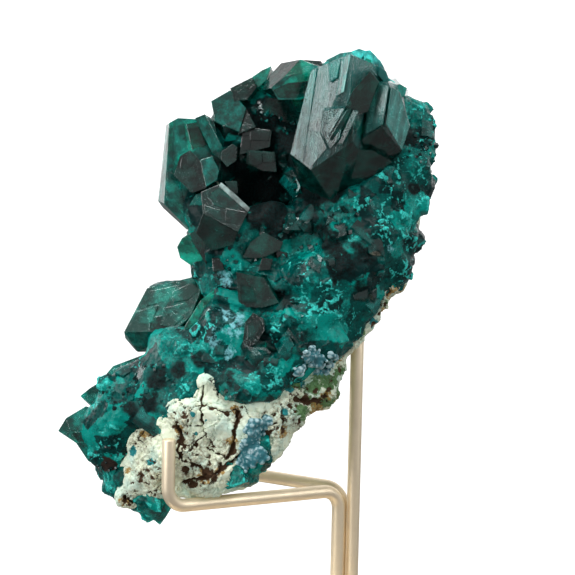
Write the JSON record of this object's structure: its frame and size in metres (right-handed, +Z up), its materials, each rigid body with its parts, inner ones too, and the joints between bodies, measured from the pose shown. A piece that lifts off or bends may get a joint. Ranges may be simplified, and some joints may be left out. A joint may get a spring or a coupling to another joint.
{
  "type": "mineral specimen on a wire stand",
  "caption": "Dark green dioptase crystals around a hollow on pale cracked matrix rock, propped on bent wire arms and an upright rod over a flat base plate.",
  "frame": {"origin": "centre of the base plate's underside", "axes": "+Z up, the display side with the crystals towards -Y, +X to the right as that side is seen"},
  "size_m": [0.0619, 0.0484, 0.0998],
  "materials": {
    "matrix_rock": "rough, cracked, pale mint",
    "dioptase": "glassy deep green crystals, frosted turquoise crust",
    "stand_metal": "satin, warm",
    "base_metal": "satin, warm"
  },
  "bodies": {
    "root": {"matrix": "matrix_rock", "dioptase_crystals": "dioptase", "stand_front_arm": "stand_metal", "stand_rear_arm": "stand_metal", "stand_upright": "stand_metal", "stand_base": "base_metal"}
  },
  "joints": []
}
